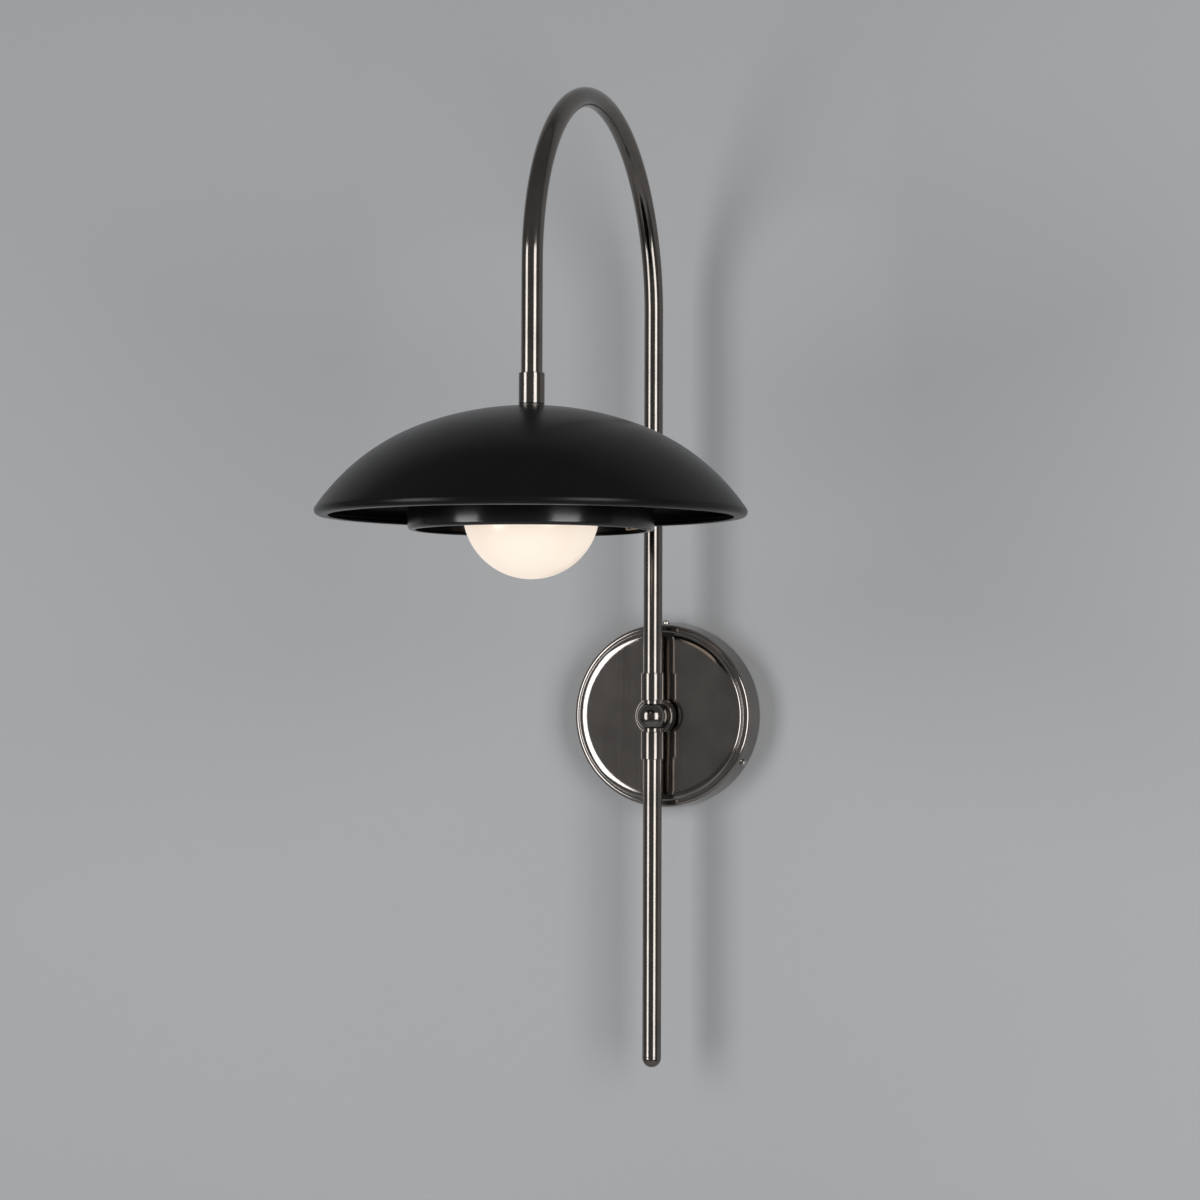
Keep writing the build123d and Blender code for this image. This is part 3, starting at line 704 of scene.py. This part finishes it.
class LIGHT_OT_shade(bpy.types.Operator):
    """Spin the dome with its lip, and turn the washer on its top"""
    bl_idname = "wall_light.shade"
    bl_label = "Shade"

    def execute(self, context):
        s = context.scene.light_shade
        hole = context.scene.light_wall.rod_hole
        finishes = context.scene.light_finishes
        sheet = dome_profile(s, hole, 0.0) + dome_profile(s, hole, s.sheet)[::-1]
        dome = turned("shade_spun_dome", sheet, shade_foot(), UP, steps=256)
        black = satin_paint("shade_satin_black", finishes.black, rough=(0.24, 0.3), shine=0.16)
        finish_piece(dome, black, "fixture", ["shade_dome"])
        low = shade_top(s)
        high = low + s.seat
        profile = rounded([(hole, low, 0), (s.seat_radius, low, EDGE), (s.seat_radius, high, EDGE),
                           (hole, high, 0)])
        seat = turned("shade_seat_washer", profile, shade_foot(), UP, steps=72)
        metal = plated("seat_black_nickel", finishes.black_nickel)
        finish_piece(seat, metal, "fixture", ["shade_seat"])
        return {"FINISHED"}


class LIGHT_OT_glare_ring(bpy.types.Operator):
    """Spin the glare ring and dress its hanger, screws and nuts"""
    bl_idname = "wall_light.glare_ring"
    bl_label = "Glare ring"

    def execute(self, context):
        s = context.scene.light_shade
        finishes = context.scene.light_finishes
        bore = s.ring_radius - s.sheet
        shelf = s.ring_low + s.sheet
        profile = rounded([(bore, s.ring_high, 0), (s.ring_radius, s.ring_high, EDGE),
                           (s.ring_radius, s.ring_low, s.ring_corner), (s.ring_lip, s.ring_low, 2 * EDGE),
                           (s.ring_lip, shelf, 2 * EDGE), (bore, shelf, s.ring_corner - s.sheet),
                           (bore, s.ring_high, 0)], steps=8)[:-1]
        ring = turned("glare_ring_band", profile, shade_foot(), UP, steps=192)
        black = satin_paint("ring_satin_black", finishes.black, rough=(0.14, 0.2), grain=1200.0)
        finish_piece(ring, black, "fixture", ["glare_ring"])
        # Cream on the hanger is painted light, standing in for the globe's warm glow on the inside of the
        # ring.
        dress("ring_hanger", satin_paint("hanger_paint_warm_glow", finishes.hanger_glow_paint, rough=(0.4, 0.5)))
        steel = plated("ring_fastener_zinc", finishes.zinc, rough=(0.15, 0.25))
        dress("ring_screws", steel)
        dress("ring_nuts", steel)
        return {"FINISHED"}


class LIGHT_OT_globe(bpy.types.Operator):
    """Spin the opal globe and dress the lamp inside it"""
    bl_idname = "wall_light.globe"
    bl_label = "Globe"

    def execute(self, context):
        g = context.scene.light_globe
        finishes = context.scene.light_finishes
        bend_radius = g.neck_radius + g.neck_fillet
        bend_rise = math.sqrt((g.radius + g.neck_fillet)**2 - bend_radius**2)
        bend_angle = math.atan2(bend_rise, bend_radius)
        outer = arc((0, g.centre_z), g.radius, -QUARTER, bend_angle, steps=72)
        outer += arc((bend_radius, g.centre_z + bend_rise), g.neck_fillet, math.pi + bend_angle, math.pi,
                     steps=8)[1:]
        outer.append(Vector((g.neck_radius, g.neck_top)))
        inside = g.radius - g.glass
        inner = arc((0, g.centre_z), inside, -QUARTER, math.acos(g.neck_bore / inside), steps=60)
        inner.append(Vector((g.neck_bore, g.neck_top)))
        globe = turned("opal_glass_globe", outer + inner[::-1], shade_foot(), UP, closed=False, steps=128)
        finish_piece(globe, lit_opal("globe_lit_opal"), "globe", ["opal_globe"])
        dress("globe_thread_ring", plated("thread_ring_zinc", finishes.zinc))
        dress("lamp_capsule", frosted_lamp("lamp_frosted_glass"))
        dress("lamp_pins", plated("lamp_pin_steel", finishes.zinc, rough=(0.2, 0.3)))
        return {"FINISHED"}


class LIGHT_OT_hardware(bpy.types.Operator):
    """Dress the bracket, rods, nuts, washers and the lampholder"""
    bl_idname = "wall_light.hardware"
    bl_label = "Hardware"

    def execute(self, context):
        finishes = context.scene.light_finishes
        zinc = plated("hardware_zinc", finishes.zinc)
        brass = plated("hardware_brass", finishes.brass, rough=(0.2, 0.32))
        for node in ("mounting_bracket", "canopy_washer", "shade_washer", "globe_carrier", "holder_screws"):
            dress(node, zinc)
        for node in ("canopy_nipple", "canopy_nut", "upper_nipple", "lower_nipple", "shade_nipple",
                     "shade_nut", "holder_contacts"):
            dress(node, brass)
        dress("ground_screw", plated("ground_screw_green", finishes.green, rough=(0.25, 0.35)))
        dress("lampholder", glazed_ceramic("holder_ceramic"))
        return {"FINISHED"}


class LIGHT_OT_stage(bpy.types.Operator):
    """Set the wall, floor, soft boxes and the camera"""
    bl_idname = "wall_light.stage"
    bl_label = "Stage"

    def execute(self, context):
        scene = context.scene
        stage = scene.light_stage
        self.wall(stage, scene.light_finishes)
        self.floor(scene.light_finishes)
        self.soft_box(stage, "soft_box_right", *stage.right_box)
        self.soft_box(stage, "soft_box_left", *stage.left_box)
        self.camera(scene, stage)
        world = bpy.data.worlds.new("studio")
        world.use_nodes = True
        background = world.node_tree.nodes["Background"]
        background.inputs["Color"].default_value = (1, 1, 1, 1)
        background.inputs["Strength"].default_value = stage.fill
        scene.world = world
        scene.view_settings.view_transform = "Standard"
        return {"FINISHED"}

    def wall(self, stage, finishes):
        """A painted wall, open behind the canopy so that light reaches the bracket from the rear"""
        bpy.ops.object.select_all(action="DESELECT")
        bpy.ops.mesh.primitive_circle_add(vertices=96, radius=stage.wall_opening,
                                          location=(0, BACKDROP_GAP, 0), rotation=(QUARTER, 0, 0))
        wall = bpy.context.object
        wall.name = "stage_wall"
        bpy.ops.object.transform_apply(location=True, rotation=True)
        bpy.ops.object.mode_set(mode="EDIT")
        bpy.ops.mesh.select_all(action="SELECT")
        bpy.ops.mesh.extrude_region_move()
        bpy.ops.transform.resize(value=(BACKDROP_SPREAD, 1, BACKDROP_SPREAD))
        bpy.ops.mesh.select_all(action="SELECT")
        bpy.ops.object.mode_set(mode="OBJECT")
        if wall.data.polygons[0].normal.dot(OUT_OF_WALL) < 0:
            wall.data.flip_normals()
        wall.data.materials.append(wall_paint("stage_wall_paint", finishes.wall))

    def floor(self, finishes):
        """A pale floor"""
        bpy.ops.object.select_all(action="DESELECT")
        bpy.ops.mesh.primitive_plane_add(size=FLOOR_SIZE, location=(0, 0, FLOOR_Z))
        floor = bpy.context.object
        floor.name = "stage_floor"
        bpy.ops.object.transform_apply(location=True)
        floor.data.materials.append(floor_paint("stage_floor_paint", finishes.floor))

    def soft_box(self, stage, name, azimuth, width):
        """An upright soft box level with the hub and turned towards it, at an angle to the wall's front"""
        place = Vector((math.sin(azimuth), -math.cos(azimuth), 0)) * stage.lamp_distance
        lamp = bpy.data.lights.new(name, "AREA")
        lamp.shape = "RECTANGLE"
        lamp.size = width * stage.lamp_distance
        lamp.size_y = 2 * math.tan(stage.lamp_height / 2) * stage.lamp_distance
        lamp.energy = stage.lamp_power * lamp.size * lamp.size_y
        box = bpy.data.objects.new(name, lamp)
        bpy.context.scene.collection.objects.link(box)
        box.location = place
        box.rotation_euler = (-place).to_track_quat("-Z", "Y").to_euler()

    def camera(self, scene, stage):
        """A camera at the photograph's place and angle"""
        yaw, pitch, roll = stage.yaw, stage.pitch, stage.roll
        ahead = Vector((-math.sin(yaw), math.cos(yaw), 0))
        right = Vector((math.cos(yaw), math.sin(yaw), 0))
        view = ahead * math.cos(pitch) + UP * math.sin(pitch)
        above = UP * math.cos(pitch) - ahead * math.sin(pitch)
        side = right * math.cos(roll) + above * math.sin(roll)
        top = above * math.cos(roll) - right * math.sin(roll)
        data = bpy.data.cameras.new("photo_camera")
        data.lens = stage.lens
        data.sensor_width = SENSOR_WIDTH
        camera = bpy.data.objects.new("photo_camera", data)
        scene.collection.objects.link(camera)
        matrix = Matrix((side, top, -view)).transposed().to_4x4()
        matrix.translation = Vector(stage.camera_place)
        camera.matrix_world = matrix
        scene.camera = camera


class LIGHT_PT_panel(bpy.types.Panel):
    """Lists the pieces of the wall light and their sizes"""
    bl_idname = "LIGHT_PT_panel"
    bl_label = "Wall light"
    bl_space_type = "VIEW_3D"
    bl_region_type = "UI"
    bl_category = "Wall light"

    def draw(self, context):
        for operator in PIECES:
            self.layout.operator(operator.bl_idname)
        for name in GROUPS:
            group = getattr(context.scene, name)
            box = self.layout.box()
            for key in group.__annotations__:
                box.prop(group, key)


PIECES = (LIGHT_OT_canopy, LIGHT_OT_hub, LIGHT_OT_arm, LIGHT_OT_shade, LIGHT_OT_glare_ring, LIGHT_OT_globe,
          LIGHT_OT_hardware, LIGHT_OT_stage)
GROUPS = {
    "light_wall": WallSizes,
    "light_arm": ArmSizes,
    "light_shade": ShadeSizes,
    "light_globe": GlobeSizes,
    "light_finishes": Finishes,
    "light_stage": StageSizes,
}


def register():
    for name, group in GROUPS.items():
        bpy.utils.register_class(group)
        setattr(bpy.types.Scene, name, PointerProperty(type=group))
    for operator in PIECES:
        bpy.utils.register_class(operator)
    bpy.utils.register_class(LIGHT_PT_panel)


def unregister():
    bpy.utils.unregister_class(LIGHT_PT_panel)
    for operator in reversed(PIECES):
        bpy.utils.unregister_class(operator)
    for name, group in GROUPS.items():
        delattr(bpy.types.Scene, name)
        bpy.utils.unregister_class(group)


def main():
    register()
    for operator in PIECES:
        category, name = operator.bl_idname.split(".")
        getattr(getattr(bpy.ops, category), name)()


if __name__ == "__main__":
    main()
